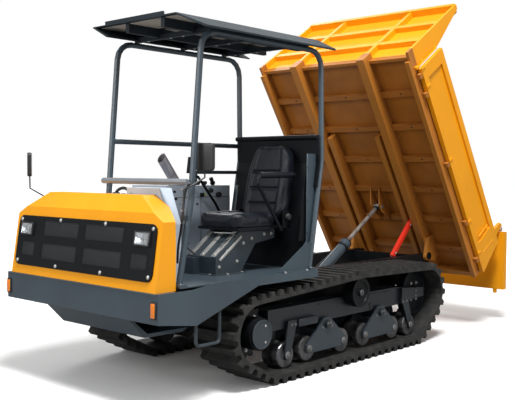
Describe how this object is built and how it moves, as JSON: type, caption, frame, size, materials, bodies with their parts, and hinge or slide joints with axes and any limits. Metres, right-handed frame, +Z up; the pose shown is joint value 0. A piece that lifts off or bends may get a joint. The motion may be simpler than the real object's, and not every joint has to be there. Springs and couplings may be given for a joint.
{
  "type": "crawler carrier",
  "caption": "Tracked dump carrier with a canopied seat beside the engine, a tipping bed with drop sides and hanging tailgate, a tipping ram, a safety prop and rocking bogies.",
  "frame": {"origin": "on the ground under the middle of the machine as it stands with the bed raised", "axes": "+Z up, -Y the way the machine faces, +X the driver's left, where the seat and the boarding step are"},
  "size_m": [1.8753, 4.8128, 3.1681],
  "materials": {
    "yellow_paint": "semi-gloss enamel",
    "slate_paint": "satin enamel",
    "dark_paint": "satin enamel",
    "rubber": "matt moulded rubber",
    "vinyl": "grained vinyl cover over foam",
    "pale_plastic": "satin pale grey enamel",
    "red_paint": "gloss enamel",
    "bare_steel": "machined steel",
    "lamp_lens": "clear ribbed lens over a reflector",
    "amber_lens": "amber lens"
  },
  "bodies": {
    "machine": {"track_left": "rubber", "track_right": "rubber", "track_frame_left": "slate_paint", "track_frame_right": "slate_paint", "canopy_hoop_left": "slate_paint", "canopy_hoop_right": "slate_paint", "deck": "slate_paint", "skirt": "slate_paint", "boarding_step": "slate_paint", "canopy_roof": "slate_paint", "seat_pedestal": "slate_paint", "chassis_frame": "dark_paint", "power_pack": "dark_paint", "guard_panel": "dark_paint", "exhaust_stack": "bare_steel", "front_rail": "bare_steel", "engine_cover": "pale_plastic", "turn_lamp_left": "amber_lens", "turn_lamp_right": "amber_lens"},
    "drive_left": {"drive_sprocket_left": "dark_paint"},
    "idler_left": {"idler_left": "dark_paint"},
    "carrier_left": {"carrier_roller_left": "dark_paint"},
    "front_roller_left": {"front_roller_left": "bare_steel"},
    "rear_roller_left": {"rear_roller_left": "bare_steel"},
    "front_bogie_left": {"front_bogie_left": "slate_paint"},
    "front_bogie_roller_1_left": {"front_bogie_roller_1_left": "bare_steel"},
    "front_bogie_roller_2_left": {"front_bogie_roller_2_left": "bare_steel"},
    "rear_bogie_left": {"rear_bogie_left": "slate_paint"},
    "rear_bogie_roller_1_left": {"rear_bogie_roller_1_left": "bare_steel"},
    "rear_bogie_roller_2_left": {"rear_bogie_roller_2_left": "bare_steel"},
    "drive_right": {"drive_sprocket_right": "dark_paint"},
    "idler_right": {"idler_right": "dark_paint"},
    "carrier_right": {"carrier_roller_right": "dark_paint"},
    "front_roller_right": {"front_roller_right": "bare_steel"},
    "rear_roller_right": {"rear_roller_right": "bare_steel"},
    "front_bogie_right": {"front_bogie_right": "slate_paint"},
    "front_bogie_roller_1_right": {"front_bogie_roller_1_right": "bare_steel"},
    "front_bogie_roller_2_right": {"front_bogie_roller_2_right": "bare_steel"},
    "rear_bogie_right": {"rear_bogie_right": "slate_paint"},
    "rear_bogie_roller_1_right": {"rear_bogie_roller_1_right": "bare_steel"},
    "rear_bogie_roller_2_right": {"rear_bogie_roller_2_right": "bare_steel"},
    "bed": {"bed": "yellow_paint"},
    "ram_rod": {"ram_rod": "bare_steel"},
    "ram_barrel": {"ram_barrel": "slate_paint"},
    "safety_prop": {"safety_prop": "red_paint"},
    "tailgate": {"tailgate": "yellow_paint"},
    "side_gate_left": {"side_gate_left": "yellow_paint"},
    "side_gate_right": {"side_gate_right": "yellow_paint"},
    "hood": {"hood": "yellow_paint", "grille_panel": "dark_paint", "headlamp_left": "lamp_lens", "headlamp_right": "lamp_lens"},
    "seat_base": {"seat_pan": "dark_paint", "seat_cushion": "vinyl"},
    "seat_back": {"seat_back": "vinyl"},
    "armrest": {"armrest": "slate_paint"},
    "travel_lever": {"travel_lever": "dark_paint"},
    "dump_lever": {"dump_lever": "dark_paint"},
    "mirror_left": {"mirror_left": "dark_paint"},
    "mirror_right": {"mirror_right": "dark_paint"}
  },
  "joints": [
    {"name": "drive_spin_left", "type": "hinge", "parent": "machine", "child": "drive_left", "pos_m": [0.672, -1.445, 0.402], "axis": [1, 0, 0], "continuous": true},
    {"name": "idler_spin_left", "type": "hinge", "parent": "machine", "child": "idler_left", "pos_m": [0.672, 0.895, 0.45], "axis": [1, 0, 0], "continuous": true},
    {"name": "carrier_spin_left", "type": "hinge", "parent": "machine", "child": "carrier_left", "pos_m": [0.672, -0.17, 0.56385], "axis": [1, 0, 0], "continuous": true},
    {"name": "front_roller_spin_left", "type": "hinge", "parent": "machine", "child": "front_roller_left", "pos_m": [0.672, -1.03, 0.16809], "axis": [1, 0, 0], "continuous": true},
    {"name": "rear_roller_spin_left", "type": "hinge", "parent": "machine", "child": "rear_roller_left", "pos_m": [0.672, 0.72, 0.16809], "axis": [1, 0, 0], "continuous": true},
    {"name": "front_bogie_rock_left", "type": "hinge", "parent": "machine", "child": "front_bogie_left", "pos_m": [0.672, -0.5405, 0.344], "axis": [1, 0, 0], "range_deg": [-2.4, 2.4]},
    {"name": "front_bogie_roller_1_spin_left", "type": "hinge", "parent": "front_bogie_left", "child": "front_bogie_roller_1_left", "pos_m": [0.672, -0.765, 0.17809], "axis": [1, 0, 0], "continuous": true},
    {"name": "front_bogie_roller_2_spin_left", "type": "hinge", "parent": "front_bogie_left", "child": "front_bogie_roller_2_left", "pos_m": [0.672, -0.316, 0.17809], "axis": [1, 0, 0], "continuous": true},
    {"name": "rear_bogie_rock_left", "type": "hinge", "parent": "machine", "child": "rear_bogie_left", "pos_m": [0.672, 0.227, 0.344], "axis": [1, 0, 0], "range_deg": [-2.4, 2.4]},
    {"name": "rear_bogie_roller_1_spin_left", "type": "hinge", "parent": "rear_bogie_left", "child": "rear_bogie_roller_1_left", "pos_m": [0.672, 0.0025, 0.17809], "axis": [1, 0, 0], "continuous": true},
    {"name": "rear_bogie_roller_2_spin_left", "type": "hinge", "parent": "rear_bogie_left", "child": "rear_bogie_roller_2_left", "pos_m": [0.672, 0.4515, 0.17809], "axis": [1, 0, 0], "continuous": true},
    {"name": "drive_spin_right", "type": "hinge", "parent": "machine", "child": "drive_right", "pos_m": [-0.672, -1.445, 0.402], "axis": [1, 0, 0], "continuous": true},
    {"name": "idler_spin_right", "type": "hinge", "parent": "machine", "child": "idler_right", "pos_m": [-0.672, 0.895, 0.45], "axis": [1, 0, 0], "continuous": true},
    {"name": "carrier_spin_right", "type": "hinge", "parent": "machine", "child": "carrier_right", "pos_m": [-0.672, -0.17, 0.56385], "axis": [1, 0, 0], "continuous": true},
    {"name": "front_roller_spin_right", "type": "hinge", "parent": "machine", "child": "front_roller_right", "pos_m": [-0.672, -1.03, 0.16809], "axis": [1, 0, 0], "continuous": true},
    {"name": "rear_roller_spin_right", "type": "hinge", "parent": "machine", "child": "rear_roller_right", "pos_m": [-0.672, 0.72, 0.16809], "axis": [1, 0, 0], "continuous": true},
    {"name": "front_bogie_rock_right", "type": "hinge", "parent": "machine", "child": "front_bogie_right", "pos_m": [-0.672, -0.5405, 0.344], "axis": [1, 0, 0], "range_deg": [-2.4, 2.4]},
    {"name": "front_bogie_roller_1_spin_right", "type": "hinge", "parent": "front_bogie_right", "child": "front_bogie_roller_1_right", "pos_m": [-0.672, -0.765, 0.17809], "axis": [1, 0, 0], "continuous": true},
    {"name": "front_bogie_roller_2_spin_right", "type": "hinge", "parent": "front_bogie_right", "child": "front_bogie_roller_2_right", "pos_m": [-0.672, -0.316, 0.17809], "axis": [1, 0, 0], "continuous": true},
    {"name": "rear_bogie_rock_right", "type": "hinge", "parent": "machine", "child": "rear_bogie_right", "pos_m": [-0.672, 0.227, 0.344], "axis": [1, 0, 0], "range_deg": [-2.4, 2.4]},
    {"name": "rear_bogie_roller_1_spin_right", "type": "hinge", "parent": "rear_bogie_right", "child": "rear_bogie_roller_1_right", "pos_m": [-0.672, 0.0025, 0.17809], "axis": [1, 0, 0], "continuous": true},
    {"name": "rear_bogie_roller_2_spin_right", "type": "hinge", "parent": "rear_bogie_right", "child": "rear_bogie_roller_2_right", "pos_m": [-0.672, 0.4515, 0.17809], "axis": [1, 0, 0], "continuous": true},
    {"name": "bed_tilt", "type": "hinge", "parent": "machine", "child": "bed", "pos_m": [0, 1.547, 0.717], "axis": [-1, 0, 0], "range_deg": [-57, 0]},
    {"name": "ram_eye", "type": "hinge", "parent": "bed", "child": "ram_rod", "pos_m": [0, 1.32691, 1.21198], "axis": [-1, 0, 0], "range_deg": [0, 70.41]},
    {"name": "ram_stroke", "type": "slide", "parent": "ram_rod", "child": "ram_barrel", "axis": [0, 0.8478, 0.5304], "range_m": [0, 0.4645]},
    {"name": "prop_fold", "type": "hinge", "parent": "bed", "child": "safety_prop", "pos_m": [0.3325, 1.43207, 1.07758], "axis": [-1, 0, 0], "range_deg": [0, 102.2]},
    {"name": "tailgate_swing", "type": "hinge", "parent": "bed", "child": "tailgate", "pos_m": [0, 2.33503, 0.9724], "axis": [1, 0, 0], "range_deg": [-47, 60]},
    {"name": "side_gate_drop_left", "type": "hinge", "parent": "bed", "child": "side_gate_left", "pos_m": [0.903, 1.6728, 0.7987], "axis": [0, 0.5446, -0.8387], "range_deg": [0, 170]},
    {"name": "side_gate_drop_right", "type": "hinge", "parent": "bed", "child": "side_gate_right", "pos_m": [-0.903, 1.6728, 0.7987], "axis": [0, -0.5446, 0.8387], "range_deg": [0, 170]},
    {"name": "hood_tilt", "type": "hinge", "parent": "machine", "child": "hood", "pos_m": [0, -2.397, 0.7885], "axis": [1, 0, 0], "range_deg": [0, 55]},
    {"name": "seat_slide", "type": "slide", "parent": "machine", "child": "seat_base", "axis": [0, -1, 0], "range_m": [-0.015, 0.1]},
    {"name": "seat_back_fold", "type": "hinge", "parent": "seat_base", "child": "seat_back", "pos_m": [0.44, -0.94, 1.215], "axis": [1, 0, 0], "range_deg": [0, 40]},
    {"name": "armrest_lift", "type": "hinge", "parent": "seat_back", "child": "armrest", "pos_m": [0.695, -0.863, 1.535], "axis": [-1, 0, 0], "range_deg": [0, 90]},
    {"name": "travel_lever_push", "type": "hinge", "parent": "machine", "child": "travel_lever", "pos_m": [0.055, -1.022, 1.205], "axis": [1, 0, 0], "range_deg": [-15, 15]},
    {"name": "dump_lever_push", "type": "hinge", "parent": "machine", "child": "dump_lever", "pos_m": [-0.05, -1.02, 1.4663], "axis": [1, 0, 0], "range_deg": [-18, 18]},
    {"name": "mirror_swivel_left", "type": "hinge", "parent": "machine", "child": "mirror_left", "pos_m": [0.822, -2.15, 1.26], "axis": [0, 0, 1], "range_deg": [-60, 4]},
    {"name": "mirror_swivel_right", "type": "hinge", "parent": "machine", "child": "mirror_right", "pos_m": [-0.8143, -2.105, 1.315], "axis": [0, 0, 1], "range_deg": [-40, 20]}
  ],
  "couplings": [
    {"joint": "idler_spin_left", "follows": "drive_spin_left", "ratio": 1},
    {"joint": "carrier_spin_left", "follows": "drive_spin_left", "ratio": 1.7434},
    {"joint": "front_roller_spin_left", "follows": "drive_spin_left", "ratio": 2.127},
    {"joint": "rear_roller_spin_left", "follows": "drive_spin_left", "ratio": 2.127},
    {"joint": "front_bogie_roller_1_spin_left", "follows": "drive_spin_left", "ratio": 2.127},
    {"joint": "front_bogie_roller_2_spin_left", "follows": "drive_spin_left", "ratio": 2.127},
    {"joint": "rear_bogie_roller_1_spin_left", "follows": "drive_spin_left", "ratio": 2.127},
    {"joint": "rear_bogie_roller_2_spin_left", "follows": "drive_spin_left", "ratio": 2.127},
    {"joint": "idler_spin_right", "follows": "drive_spin_right", "ratio": 1},
    {"joint": "carrier_spin_right", "follows": "drive_spin_right", "ratio": 1.7434},
    {"joint": "front_roller_spin_right", "follows": "drive_spin_right", "ratio": 2.127},
    {"joint": "rear_roller_spin_right", "follows": "drive_spin_right", "ratio": 2.127},
    {"joint": "front_bogie_roller_1_spin_right", "follows": "drive_spin_right", "ratio": 2.127},
    {"joint": "front_bogie_roller_2_spin_right", "follows": "drive_spin_right", "ratio": 2.127},
    {"joint": "rear_bogie_roller_1_spin_right", "follows": "drive_spin_right", "ratio": 2.127},
    {"joint": "rear_bogie_roller_2_spin_right", "follows": "drive_spin_right", "ratio": 2.127},
    {"joint": "ram_eye", "follows": "bed_tilt", "ratio": -1.2317},
    {"joint": "ram_stroke", "follows": "bed_tilt", "m_per_rad": -0.46592},
    {"joint": "prop_fold", "follows": "bed_tilt", "ratio": -1.7895}
  ]
}
